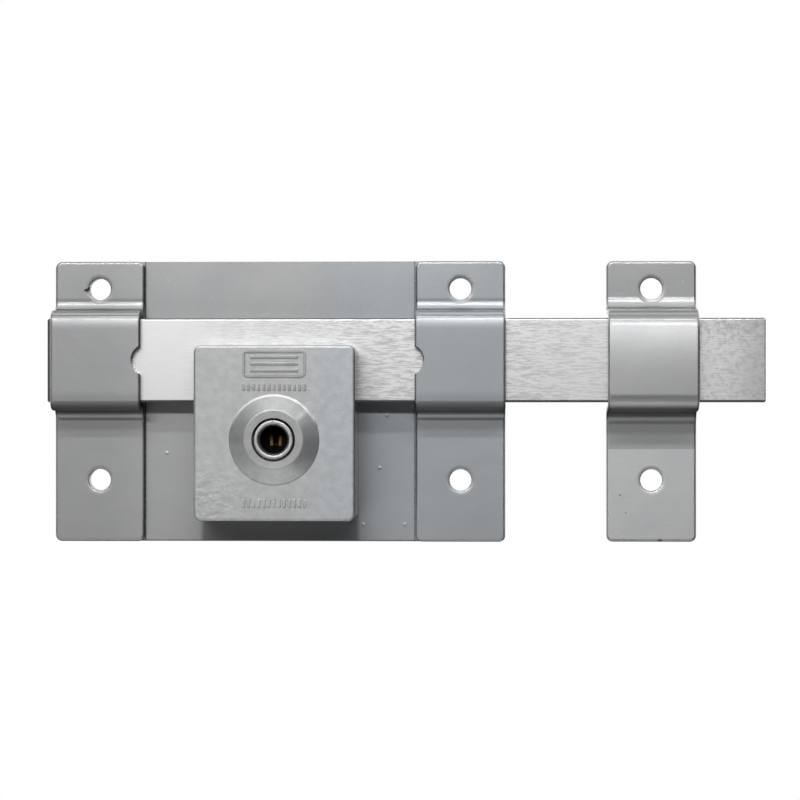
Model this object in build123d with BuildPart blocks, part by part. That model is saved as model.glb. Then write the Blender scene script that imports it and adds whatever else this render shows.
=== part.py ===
"""Rim lock with a sliding bar, its cast key housing and the keeper strap for the door frame."""
import os
from math import atan, cos, degrees, radians, sin

from build123d import *

# Frame: X along the bar, Z up, the door's face at Y = 0 and the viewer on the -Y side.
# The origin is the middle of the four screw holes, on the back face of the plate.
# A height is measured from the door's face towards the viewer.

# Sheet metal of the plate and the straps
sheet = 2.0
plate_width = 137.8
plate_height = 85.6
plate_corner = 2.0
plate_edge = 0.4
strap_width = 27.4
screw_hole = 6.6
hole_pitch_z = 58.3
hole_below_top = 8.5

# Folds of the guide straps
guide_bend = 3.2
guide_foot_bend = 3.0
guide_side_gap = 0.55
guide_front_gap = 0.3
notch_radius = 4.7
notch_depth = 2.6

# Folds of the keeper, and how far the bar runs past its middle
bar_past_keeper = 33.7
keeper_bend = 5.5
keeper_foot_bend = 4.0
keeper_side_gap = 0.9
keeper_front_gap = 1.5

# Slide bar
bar_length = 217.0
bar_height = 25.4
bar_thickness = 9.5
bar_edge = 0.6
bar_end_edge = 0.45
bar_back_gap = 0.2
bar_below_top = 30.4
bar_proud = 1.1
bar_travel = 77.0

# Cast housing
housing_width = 48.2
housing_height = 52.5
housing_face = 24.0
housing_corner = 2.2
housing_edge = 0.9
housing_wall = 3.0
housing_above_bar_axis = 4.4
channel_side_gap = 0.6
channel_front_gap = 0.5
post_diameter = 7.4
post_sink = 1.0
rib_width = 2.4
rib_cam_gap = 1.8

# Conical boss round the keyhole
key_below_housing_top = 28.2
boss_base = 27.0
boss_rim = 17.6
boss_height = 3.0
boss_step = 0.3
boss_bore = 13.0
boss_edge = 0.5

# Steel nose sleeve
sleeve_outer = 11.6
sleeve_mouth = 9.4
sleeve_bore = 8.0
sleeve_taper = 2.4
sleeve_depth = 9.4
sleeve_flange = 15.8
sleeve_flange_depth = 1.6
sleeve_sunk = 0.2
sleeve_edge = 0.4

# Key cylinder
cylinder_diameter = 16.0
cylinder_gap = 0.15
barrel_wall = 2.0
lobe_width = 6.0
lobe_reach = 13.2
ear_span = 22.8
ear_width = 6.4
ear_thickness = 2.0
plug_diameter = 9.6
plug_head = 11.2
plug_head_depth = 1.2
plug_sunk = 0.1
plug_gap = 0.05
key_slot_width = 1.8
key_slot_height = 5.6
key_slot_rise = 0.4
key_slot_past_pin = 0.1

# Pin tumblers
first_pin_inset = 2.1
pin_pitch = 2.2
key_pin_lengths = [2.3, 2.7, 2.5]
pin_diameter = 1.5
pin_gap = 0.05
pin_shear_gap = 0.15
pin_tip = 0.4
driver_length = 2.6
spring_coil = 1.2
spring_wire = 0.22
spring_turns = 4
cover_width = 3.2
cover_thickness = 1.0
end_gap = 0.05

# Cam and locking dog
cam_diameter = 13.0
cam_thickness = 2.2
cam_pin_diameter = 2.5
cam_throw = 4.0
cam_rest_angle = 225.0
cam_turn = 90.0
cam_key_width = 3.0
cam_key_depth = 0.7
dog_thickness = 2.8
dog_width = 16.0
dog_gap = 0.2
dog_guide_gap = 0.25
dog_shoulder_gap = 0.4
dog_floor_gap = 3.7
tongue_width = 8.0
tongue_tip_bite = 1.2
tongue_corner = 0.8
yoke_gap = 0.25
rebate_clearance = 0.3
pocket_side_gap = 0.3
pocket_end_gap = 0.4
rebate_front_gap = 0.4

# Fasteners
housing_screw = 4.0
housing_screw_head = 7.4
housing_screw_length = 10.0
cylinder_screw = 2.5
cylinder_screw_head = 5.0
cylinder_screw_head_height = 1.6
cylinder_screw_length = 5.4
cam_screw = 2.0
cam_screw_head = 4.0
cam_screw_length = 3.9
cam_drill_past = 0.4
drill_past = 2.0
drive_slot = 0.8
drive_slot_depth = 0.7
thread_gap = 0.05

# Places that follow from the sizes above
plate_top = hole_pitch_z / 2 + hole_below_top
plate_mid_z = plate_top - plate_height / 2
strap_x = (plate_width - strap_width) / 2
bar_z = plate_top - bar_below_top
bar_bottom = bar_z - bar_height / 2
bar_left = -plate_width / 2 - bar_proud
keeper_x = bar_left + bar_length - bar_past_keeper
bar_back = sheet + bar_back_gap
bar_front = bar_back + bar_thickness
housing_top = bar_z + housing_above_bar_axis
housing_bottom = housing_top - housing_height
housing_mid_z = housing_top - housing_height / 2
key_z = housing_top - key_below_housing_top
channel_bottom = bar_bottom - channel_side_gap
channel_front = bar_front + channel_front_gap
cavity_front = housing_face - housing_wall
cross_wall_bottom = channel_bottom - housing_wall
boss_face = housing_face + boss_height
sleeve_face = boss_face - sleeve_sunk
dog_rear = sheet + dog_gap
dog_front = dog_rear + dog_thickness
cam_rear = dog_front + dog_gap
cam_front = cam_rear + cam_thickness
cylinder_rear = cam_front + dog_gap
cylinder_front = sleeve_face - sleeve_depth
cylinder_length = cylinder_front - cylinder_rear
cylinder_mid = (cylinder_front + cylinder_rear) / 2
pocket_end = cylinder_front + sleeve_flange_depth
ear_front = cylinder_rear + ear_thickness
plug_face = cylinder_front - plug_sunk
pin_heights = [plug_face - first_pin_inset - row * pin_pitch for row in range(len(key_pin_lengths))]
key_slot_end = pin_heights[-1] - pin_diameter / 2 - pin_gap - key_slot_past_pin
dog_lift = 2 * cam_throw * sin(radians(cam_turn / 2))
cam_pin_x = cam_throw * cos(radians(cam_rest_angle))
cam_pin_z = key_z + cam_throw * sin(radians(cam_rest_angle))
tongue_tip = bar_bottom + tongue_tip_bite
rebate_top = tongue_tip + rebate_clearance
pocket_top = tongue_tip + dog_lift + pocket_end_gap
rebate_front = dog_front + rebate_front_gap
dog_shoulder = cross_wall_bottom - dog_lift - dog_shoulder_gap
inside_width = housing_width - 2 * housing_wall
inside_bottom = housing_bottom + housing_wall
dog_bottom = inside_bottom + dog_floor_gap
rib_top = key_z - cam_diameter / 2 - rib_cam_gap
key_pin_bottom = key_z - plug_diameter / 2 + pin_shear_gap
driver_top = key_z - plug_diameter / 2 - pin_shear_gap
driver_bottom = driver_top - driver_length
cover_top = key_z - lobe_reach + cover_thickness + end_gap
post_inset = post_diameter / 2 - post_sink
post_x = inside_width / 2 - post_inset
post_z = [cross_wall_bottom - post_inset, inside_bottom + post_inset]
post_places = [(x, z) for x in (-post_x, post_x) for z in post_z]
ear_places = [(-ear_span / 2, key_z), (ear_span / 2, key_z)]

os.makedirs("parts", exist_ok=True)


def save(piece, name):
    """Label a finished piece and write it to its own file."""
    piece.label = name
    export_step(piece, f"parts/{name}.step")


def door_plane(height):
    """The sketch plane at a height above the door, seen by the viewer."""
    return Plane.XZ.offset(height)


def turn_piece(x, z, profile):
    """Revolve (radius, height) points about the line square to the door through (x, z)."""
    with BuildSketch(Plane((x, 0, z))) as section:
        with BuildLine():
            Polyline(*[(radius, -height) for radius, height in profile], close=True)
        make_face()
    revolve(section.sketch, axis=Axis((x, 0, z), (0, 1, 0)))


def screw_hole_places(x_places):
    """Both rows of screw holes at the given X places."""
    return [(x, z) for x in x_places for z in (-hole_pitch_z / 2, hole_pitch_z / 2)]


def folded_strap(name, x, back, crown, side_gap, bend, foot_bend, notch_side):
    """A strip folded into a hat over the bar, with a screw hole in each foot."""
    inner = bar_height / 2 + side_gap
    outer = inner + sheet
    bottom = plate_top - plate_height
    points = [
        (back, plate_top),
        (back, bar_z + inner),
        (crown, bar_z + inner),
        (crown, bar_z - inner),
        (back, bar_z - inner),
        (back, bottom),
        (back + sheet, bottom),
        (back + sheet, bar_z - outer),
        (crown + sheet, bar_z - outer),
        (crown + sheet, bar_z + outer),
        (back + sheet, bar_z + outer),
        (back + sheet, plate_top),
    ]
    back_bends = [0, foot_bend + sheet, bend - sheet, bend - sheet, foot_bend + sheet, 0]
    front_bends = [0, foot_bend, bend, bend, foot_bend, 0]
    with BuildPart() as strap:
        with BuildSketch(Plane.YZ.offset(x - strap_width / 2)):
            with BuildLine():
                outline = [(-height, z) for height, z in points]
                FilletPolyline(*outline, radius=back_bends + front_bends, close=True)
            make_face()
        extrude(amount=strap_width)
        # The blank's rounded corners
        with BuildSketch(door_plane(back)):
            with Locations((x, plate_mid_z)):
                RectangleRounded(strap_width, plate_height, plate_corner)
        extrude(amount=crown + 2 * sheet - back, mode=Mode.INTERSECT)
        with BuildSketch(door_plane(back)):
            with Locations(*screw_hole_places([x])):
                Circle(screw_hole / 2)
        extrude(amount=sheet, mode=Mode.SUBTRACT)
        # The half-round notch in the edge that faces the housing
        if notch_side:
            notch_x = x + notch_side * (strap_width / 2 + notch_radius - notch_depth)
            with BuildSketch(door_plane(crown)):
                with Locations((notch_x, bar_z)):
                    Circle(notch_radius)
            extrude(amount=sheet, mode=Mode.SUBTRACT)
    save(strap.part, name)


# Back plate, with countersunk holes behind for the housing's screws
with BuildPart() as back_plate:
    with BuildSketch(door_plane(0)):
        with Locations((0, plate_mid_z)):
            RectangleRounded(plate_width, plate_height, plate_corner)
        with Locations(*screw_hole_places([-strap_x, strap_x])):
            Circle(screw_hole / 2, mode=Mode.SUBTRACT)
    extrude(amount=sheet)
    chamfer(back_plate.faces().sort_by(Axis.Y)[0].outer_wire().edges(), plate_edge)
    with Locations(*[Plane((x, 0, z), z_dir=(0, 1, 0)) for x, z in post_places]):
        CounterSinkHole(
            housing_screw / 2 + thread_gap,
            housing_screw_head / 2 + thread_gap,
            counter_sink_angle=90,
        )
save(back_plate.part, "back_plate")

# Guide straps on the plate, and the keeper on the door frame
guide_crown = bar_front + guide_front_gap
guide_folds = (guide_side_gap, guide_bend, guide_foot_bend)
folded_strap("guide_strap_left", -strap_x, sheet, guide_crown, *guide_folds, 1)
folded_strap("guide_strap_right", strap_x, sheet, guide_crown, *guide_folds, -1)
keeper_crown = bar_front + keeper_front_gap
keeper_folds = (keeper_side_gap, keeper_bend, keeper_foot_bend)
folded_strap("keeper_strap", keeper_x, 0, keeper_crown, *keeper_folds, 0)

# Slide bar, with a hidden rebate and two pockets behind its lower edge for the dog
with BuildPart() as slide_bar:
    with BuildSketch(Plane.YZ.offset(bar_left)):
        with Locations((-(bar_back + bar_thickness / 2), bar_z)):
            RectangleRounded(bar_thickness, bar_height, bar_edge)
    extrude(amount=bar_length)
    chamfer(slide_bar.faces().filter_by(Axis.X).edges(), bar_end_edge)
    pocket_width = tongue_width + 2 * pocket_side_gap
    with BuildSketch(door_plane(bar_back)):
        with Locations((bar_travel / 2, bar_bottom)):
            Rectangle(bar_travel + pocket_width, 2 * (rebate_top - bar_bottom))
        with Locations((0, bar_bottom), (bar_travel, bar_bottom)):
            Rectangle(pocket_width, 2 * (pocket_top - bar_bottom))
    extrude(amount=rebate_front - bar_back, mode=Mode.SUBTRACT)
save(slide_bar.part, "slide_bar")

# Cast housing: a box that is open at the back and bridges the bar
barrel_radius = cylinder_diameter / 2 + cylinder_gap + barrel_wall
lobe_slot = lobe_width + 2 * cylinder_gap
lobe_end = lobe_reach + cylinder_gap
with BuildPart() as lock_housing:
    with BuildSketch(door_plane(sheet)):
        with Locations((0, housing_mid_z)):
            RectangleRounded(housing_width, housing_height, housing_corner)
    extrude(amount=housing_face - sheet)
    fillet(lock_housing.faces().sort_by(Axis.Y)[0].edges(), housing_edge)
    # Conical boss on a low upright step
    with BuildSketch(door_plane(housing_face)):
        with Locations((0, key_z)):
            Circle(boss_base / 2)
    extrude(amount=boss_step)
    cone_height = boss_height - boss_step
    with BuildSketch(door_plane(housing_face + boss_step)):
        with Locations((0, key_z)):
            Circle(boss_base / 2)
    extrude(amount=cone_height, taper=degrees(atan((boss_base - boss_rim) / 2 / cone_height)))
    fillet(lock_housing.faces().sort_by(Axis.Y)[0].edges(), boss_edge)
    # Lock cavity, and the hollow in front of the bar
    with BuildSketch(door_plane(sheet)):
        with Locations((0, (inside_bottom + cross_wall_bottom) / 2)):
            Rectangle(inside_width, cross_wall_bottom - inside_bottom)
        with Locations((0, (channel_bottom + housing_top - housing_wall) / 2)):
            Rectangle(inside_width, housing_top - housing_wall - channel_bottom)
    extrude(amount=cavity_front - sheet, mode=Mode.SUBTRACT)
    # Channel for the bar, from side to side
    with BuildSketch(door_plane(sheet)):
        with Locations((0, (channel_bottom + housing_top + housing_wall) / 2)):
            Rectangle(2 * housing_width, housing_top + housing_wall - channel_bottom)
    extrude(amount=channel_front - sheet, mode=Mode.SUBTRACT)
    # Screw posts and the two ribs that guide the dog
    with BuildSketch(door_plane(sheet)):
        with Locations(*post_places):
            Circle(post_diameter / 2)
        rib_x = dog_width / 2 + dog_guide_gap + rib_width / 2
        rib_z = (inside_bottom + rib_top) / 2
        with Locations((-rib_x, rib_z), (rib_x, rib_z)):
            Rectangle(rib_width, rib_top - inside_bottom)
    extrude(amount=cavity_front - sheet)
    # Barrel that holds the cylinder, with its screw bosses
    with BuildSketch(door_plane(ear_front)):
        with Locations((0, key_z)):
            Circle(barrel_radius)
        with Locations((0, key_z - (lobe_end + barrel_wall) / 2)):
            Rectangle(lobe_slot + 2 * barrel_wall, lobe_end + barrel_wall)
        with Locations(*ear_places):
            Circle(ear_width / 2)
    extrude(amount=cavity_front - ear_front)
    with BuildSketch(door_plane(cam_front)):
        with Locations((0, key_z)):
            Circle(cylinder_diameter / 2 + cylinder_gap)
        with Locations((0, key_z - lobe_end / 2)):
            Rectangle(lobe_slot, lobe_end)
    extrude(amount=pocket_end - cam_front, mode=Mode.SUBTRACT)
    with BuildSketch(door_plane(pocket_end)):
        with Locations((0, key_z)):
            Circle(boss_bore / 2)
    extrude(amount=boss_face - pocket_end, mode=Mode.SUBTRACT)
    # Slot in the wall under the bar for the dog's tongue
    with BuildSketch(door_plane(sheet)):
        with Locations((0, (channel_bottom + cross_wall_bottom) / 2)):
            Rectangle(tongue_width + 2 * dog_guide_gap, 2 * housing_wall)
    extrude(amount=rebate_front - sheet, mode=Mode.SUBTRACT)
    # Screw holes
    with BuildSketch(door_plane(sheet)):
        with Locations(*post_places):
            Circle(housing_screw / 2 + thread_gap)
    extrude(amount=housing_screw_length + drill_past - sheet, mode=Mode.SUBTRACT)
    with BuildSketch(door_plane(ear_front)):
        with Locations(*ear_places):
            Circle(cylinder_screw / 2 + thread_gap)
    extrude(amount=cylinder_screw_length + drill_past - ear_thickness, mode=Mode.SUBTRACT)
save(lock_housing.part, "lock_housing")

# Steel nose sleeve, whose mouth narrows to the key's size
with BuildPart() as nose_sleeve:
    turn_piece(
        0,
        key_z,
        [
            (sleeve_bore / 2, cylinder_front),
            (sleeve_flange / 2, cylinder_front),
            (sleeve_flange / 2, pocket_end),
            (sleeve_outer / 2, pocket_end),
            (sleeve_outer / 2, sleeve_face - sleeve_edge),
            (sleeve_outer / 2 - sleeve_edge, sleeve_face),
            (sleeve_mouth / 2, sleeve_face),
            (sleeve_bore / 2, sleeve_face - sleeve_taper),
        ],
    )
save(nose_sleeve.part, "nose_sleeve")

# Cylinder body with its pin lobe and screw ears
with BuildPart() as cylinder_body:
    with BuildSketch(door_plane(cylinder_rear)):
        with Locations((0, key_z)):
            Circle(cylinder_diameter / 2)
        with Locations((0, key_z - lobe_reach / 2)):
            Rectangle(lobe_width, lobe_reach)
    extrude(amount=cylinder_length)
    with BuildSketch(door_plane(cylinder_rear)):
        with Locations((0, key_z)):
            SlotCenterToCenter(ear_span, ear_width)
        with Locations(*ear_places):
            Circle(cylinder_screw / 2 + thread_gap, mode=Mode.SUBTRACT)
    extrude(amount=ear_thickness)
    with BuildSketch(door_plane(cylinder_rear)):
        with Locations((0, key_z)):
            Circle(plug_diameter / 2 + plug_gap)
    extrude(amount=cylinder_length, mode=Mode.SUBTRACT)
    with BuildSketch(door_plane(plug_face - plug_head_depth - plug_gap)):
        with Locations((0, key_z)):
            Circle(plug_head / 2 + plug_gap)
    extrude(amount=plug_head_depth + plug_gap + plug_sunk, mode=Mode.SUBTRACT)
    with BuildSketch(Plane.XY.offset(key_z - lobe_reach)):
        with Locations(*[(0, -height) for height in pin_heights]):
            Circle(pin_diameter / 2 + pin_gap)
    extrude(amount=lobe_reach - plug_diameter / 2, mode=Mode.SUBTRACT)
    with BuildSketch(Plane.XY.offset(key_z - lobe_reach)):
        with Locations((0, -cylinder_mid)):
            Rectangle(cover_width + 2 * end_gap, cylinder_length)
    extrude(amount=cover_thickness + end_gap, mode=Mode.SUBTRACT)
save(cylinder_body.part, "cylinder_body")

# Strip that closes the spring chambers
with BuildPart() as chamber_cover:
    with BuildSketch(Plane.XY.offset(key_z - lobe_reach)):
        with Locations((0, -cylinder_mid)):
            Rectangle(cover_width, cylinder_length)
    extrude(amount=cover_thickness)
save(chamber_cover.part, "chamber_cover")

# Plug with its key slot, pin holes and the drive key for the cam
with BuildPart() as cylinder_plug:
    with BuildSketch(door_plane(cam_front)):
        with Locations((0, key_z)):
            Circle(plug_diameter / 2)
    extrude(amount=plug_face - cam_front)
    with BuildSketch(door_plane(plug_face - plug_head_depth)):
        with Locations((0, key_z)):
            Circle(plug_head / 2)
    extrude(amount=plug_head_depth)
    with BuildSketch(door_plane(cam_front - cam_key_depth)):
        with Locations((0, key_z)):
            Rectangle(plug_diameter - 2 * cam_key_depth, cam_key_width)
    extrude(amount=cam_key_depth)
    with BuildSketch(door_plane(key_slot_end)):
        with Locations((0, key_z + key_slot_rise)):
            Rectangle(key_slot_width, key_slot_height)
    extrude(amount=plug_face - key_slot_end, mode=Mode.SUBTRACT)
    with BuildSketch(Plane.XY.offset(key_z - plug_head / 2)):
        with Locations(*[(0, -height) for height in pin_heights]):
            Circle(pin_diameter / 2 + pin_gap)
    extrude(amount=plug_head / 2, mode=Mode.SUBTRACT)
    with BuildSketch(door_plane(cam_rear)):
        with Locations((0, key_z)):
            Circle(cam_screw / 2 + thread_gap)
    extrude(amount=cam_screw_length + cam_drill_past, mode=Mode.SUBTRACT)
save(cylinder_plug.part, "cylinder_plug")

# Key pins, each as long as its step of the key asks
key_pin_names = ["front_key_pin", "middle_key_pin", "rear_key_pin"]
for name, height, length in zip(key_pin_names, pin_heights, key_pin_lengths):
    with BuildPart() as key_pin:
        with BuildSketch(Plane.XY.offset(key_pin_bottom)):
            with Locations((0, -height)):
                Circle(pin_diameter / 2)
        extrude(amount=length)
        chamfer(key_pin.faces().filter_by(Axis.Z).edges(), pin_tip)
    save(key_pin.part, name)

# Driver pins below the shear line
with BuildPart() as driver_pins:
    with BuildSketch(Plane.XY.offset(driver_bottom)):
        with Locations(*[(0, -height) for height in pin_heights]):
            Circle(pin_diameter / 2)
    extrude(amount=driver_length)
save(driver_pins.part, "driver_pins")

# Coil springs under the driver pins
spring_bottom = cover_top + spring_wire / 2
spring_height = driver_bottom - spring_wire / 2 - end_gap - spring_bottom
with BuildPart() as pin_springs:
    for height in pin_heights:
        with BuildLine() as coil:
            Helix(
                pitch=spring_height / spring_turns,
                height=spring_height,
                radius=(spring_coil - spring_wire) / 2,
                center=(0, -height, spring_bottom),
            )
        with BuildSketch(Plane(coil.line @ 0, z_dir=coil.line % 0)):
            Circle(spring_wire / 2)
        sweep(path=coil.line, is_frenet=True)
save(pin_springs.part, "pin_springs")

# Cam disc, keyed to the rear of the plug
with BuildPart() as cam_disc:
    with BuildSketch(door_plane(cam_rear)):
        with Locations((0, key_z)):
            Circle(cam_diameter / 2)
        with Locations((cam_pin_x, cam_pin_z)):
            Circle(cam_pin_diameter / 2, mode=Mode.SUBTRACT)
    extrude(amount=cam_thickness)
    with BuildSketch(door_plane(cam_front - cam_key_depth)):
        with Locations((0, key_z)):
            Rectangle(plug_diameter, cam_key_width + 2 * end_gap)
    extrude(amount=cam_key_depth, mode=Mode.SUBTRACT)
    with Locations(Plane((0, -cam_rear, key_z), z_dir=(0, 1, 0))):
        CounterSinkHole(cam_screw / 2 + thread_gap, cam_screw_head / 2 + thread_gap, counter_sink_angle=90)
save(cam_disc.part, "cam_disc")

# Pin riveted in the cam, which works the dog
with BuildPart() as cam_pin:
    with BuildSketch(door_plane(dog_rear + dog_gap)):
        with Locations((cam_pin_x, cam_pin_z)):
            Circle(cam_pin_diameter / 2)
    extrude(amount=cam_front - dog_rear - dog_gap)
save(cam_pin.part, "cam_pin")

# Locking dog: a flat slide with a tongue on top and a cross slot for the cam pin
with BuildPart() as locking_dog:
    with BuildSketch(door_plane(dog_rear)):
        with Locations((0, (dog_shoulder + dog_bottom) / 2)):
            Rectangle(dog_width, dog_shoulder - dog_bottom)
        tongue_root = dog_shoulder - tongue_corner
        with Locations((0, (tongue_tip + tongue_root) / 2)):
            RectangleRounded(tongue_width, tongue_tip - tongue_root, tongue_corner)
        yoke_height = cam_pin_diameter + 2 * yoke_gap
        yoke_span = cam_throw + cam_pin_x
        with Locations(((cam_pin_x - cam_throw) / 2, cam_pin_z)):
            SlotCenterToCenter(yoke_span + 2 * yoke_gap, yoke_height, mode=Mode.SUBTRACT)
    extrude(amount=dog_thickness)
save(locking_dog.part, "locking_dog")

# Countersunk screws through the plate into the housing's posts
with BuildPart() as housing_screws:
    head = housing_screw_head / 2
    shank = housing_screw / 2
    screw_profile = [
        (0, 0),
        (head, 0),
        (shank, head - shank),
        (shank, housing_screw_length),
        (0, housing_screw_length),
    ]
    for x, z in post_places:
        turn_piece(x, z, screw_profile)
    with BuildSketch(door_plane(0)):
        with Locations(*post_places):
            Rectangle(housing_screw_head, drive_slot)
    extrude(amount=drive_slot_depth, mode=Mode.SUBTRACT)
save(housing_screws.part, "housing_screws")

# Pan-head screws that hold the cylinder's ears
with BuildPart() as cylinder_screws:
    head = cylinder_screw_head / 2
    shank = cylinder_screw / 2
    head_end = cylinder_rear - cylinder_screw_head_height
    screw_end = cylinder_rear + cylinder_screw_length
    screw_profile = [
        (0, head_end),
        (head - drive_slot_depth, head_end),
        (head, head_end + drive_slot_depth),
        (head, cylinder_rear),
        (shank, cylinder_rear),
        (shank, screw_end),
        (0, screw_end),
    ]
    for x, z in ear_places:
        turn_piece(x, z, screw_profile)
    with BuildSketch(door_plane(head_end)):
        with Locations(*ear_places):
            Rectangle(cylinder_screw_head, drive_slot)
    extrude(amount=drive_slot_depth, mode=Mode.SUBTRACT)
save(cylinder_screws.part, "cylinder_screws")

# Flush screw that holds the cam on the plug
with BuildPart() as cam_fixing:
    head = cam_screw_head / 2
    shank = cam_screw / 2
    screw_end = cam_rear + cam_screw_length
    screw_profile = [
        (0, cam_rear),
        (head, cam_rear),
        (shank, cam_rear + head - shank),
        (shank, screw_end),
        (0, screw_end),
    ]
    turn_piece(0, key_z, screw_profile)
    with BuildSketch(door_plane(cam_rear)):
        with Locations((0, key_z)):
            Rectangle(cam_screw_head, drive_slot)
    extrude(amount=drive_slot_depth, mode=Mode.SUBTRACT)
save(cam_fixing.part, "cam_screw")
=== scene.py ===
"""Rim lock with a sliding bar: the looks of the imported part, laid out as a Blender add-on."""
import math

import bmesh
import bpy
from bpy.props import FloatProperty, FloatVectorProperty, PointerProperty
from bpy.types import Operator, Panel, PropertyGroup
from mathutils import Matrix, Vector


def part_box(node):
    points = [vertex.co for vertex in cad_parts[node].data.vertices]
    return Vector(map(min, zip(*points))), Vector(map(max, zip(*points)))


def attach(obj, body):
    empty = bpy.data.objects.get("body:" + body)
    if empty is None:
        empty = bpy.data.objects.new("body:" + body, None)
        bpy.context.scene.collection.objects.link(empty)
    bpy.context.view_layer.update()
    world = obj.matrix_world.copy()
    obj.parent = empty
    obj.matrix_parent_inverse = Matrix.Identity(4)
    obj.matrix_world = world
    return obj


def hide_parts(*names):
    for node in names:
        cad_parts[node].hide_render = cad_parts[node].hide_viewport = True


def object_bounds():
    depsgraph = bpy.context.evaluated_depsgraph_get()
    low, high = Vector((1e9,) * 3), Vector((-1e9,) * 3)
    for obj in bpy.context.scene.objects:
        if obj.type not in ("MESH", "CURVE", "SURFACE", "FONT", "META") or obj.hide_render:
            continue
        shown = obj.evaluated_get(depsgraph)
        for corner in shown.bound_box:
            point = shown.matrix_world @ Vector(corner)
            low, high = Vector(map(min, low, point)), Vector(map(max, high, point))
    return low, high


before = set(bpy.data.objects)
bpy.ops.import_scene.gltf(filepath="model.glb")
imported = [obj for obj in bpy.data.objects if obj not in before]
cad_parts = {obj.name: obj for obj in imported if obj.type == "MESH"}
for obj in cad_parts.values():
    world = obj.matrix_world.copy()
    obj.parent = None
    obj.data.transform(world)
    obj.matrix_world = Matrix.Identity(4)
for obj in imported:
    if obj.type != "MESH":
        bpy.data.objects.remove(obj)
cad_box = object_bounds()

bl_info = {
    "name": "Rim lock",
    "version": (1, 0, 0),
    "blender": (4, 5, 0),
    "location": "View3D > Sidebar > Rim lock",
    "description": "Folds, casts, turns and paints the rim lock around its packed solids",
    "category": "Add Mesh",
}

MM = 0.001
QUARTER_TURN = math.pi / 2
# Sides of a turned piece, and the distance within which two places count as one
RING = 96
TINY = 0.02 * MM


def length(name, millimetres, note):
    """A size that the user can change, kept in metres."""
    return FloatProperty(
        name=name, description=note, default=millimetres * MM,
        subtype="DISTANCE", unit="LENGTH", precision=5,
    )


def tone(name, red_green_blue, note):
    """A colour that the user can change."""
    return FloatVectorProperty(
        name=name, description=note, default=red_green_blue, subtype="COLOR", min=0.0, max=1.0
    )


def amount(name, value, note):
    """A plain number that the user can change."""
    return FloatProperty(name=name, description=note, default=value, precision=3)


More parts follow.
